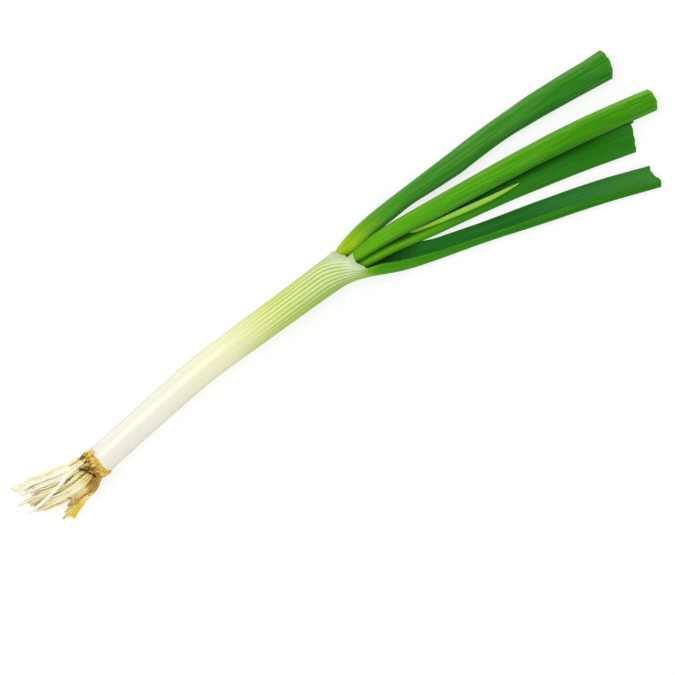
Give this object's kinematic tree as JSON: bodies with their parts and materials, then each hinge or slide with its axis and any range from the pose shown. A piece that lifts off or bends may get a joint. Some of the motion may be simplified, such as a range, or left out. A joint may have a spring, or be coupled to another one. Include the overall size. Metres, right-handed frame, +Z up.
{
  "type": "spring onion",
  "caption": "Spring onion lying flat: trimmed root brush, smooth white shank shading to green, slanting collar and a fan of hollow green leaves cut at their ends.",
  "frame": {"origin": "under the middle of the whole onion's box, on the surface that it lies on", "axes": "+X along the onion, from the roots to the cut leaf ends; +Y across it, towards the upper leaf; +Z up from the surface"},
  "size_m": [0.3464, 0.0676, 0.0142],
  "materials": {
    "sheath": "satin",
    "leaf": "satin",
    "centre_leaf": "satin",
    "young_leaf": "satin",
    "basal_plate": "matte",
    "root": "matte"
  },
  "bodies": {
    "root": {"outer_leaf": "sheath", "upper_leaf": "leaf", "centre_leaf": "centre_leaf", "back_leaf": "leaf", "young_leaf": "young_leaf", "basal_plate": "basal_plate", "root_01": "root", "root_02": "root", "root_03": "root", "root_04": "root", "root_05": "root", "root_06": "root", "root_07": "root", "root_08": "root", "root_09": "root", "root_10": "root", "root_11": "root", "root_12": "root", "root_13": "root", "root_14": "root", "root_15": "root", "root_16": "root", "root_17": "root", "root_18": "root", "root_19": "root", "root_20": "root", "root_21": "root", "root_22": "root", "root_23": "root", "root_24": "root", "root_25": "root", "root_26": "root", "root_27": "root", "root_28": "root", "root_29": "root", "root_30": "root", "root_31": "root", "root_32": "root", "root_33": "root", "root_34": "root", "root_35": "root", "root_36": "root", "root_37": "root", "root_38": "root", "root_39": "root", "root_40": "root", "root_41": "root"}
  },
  "joints": []
}
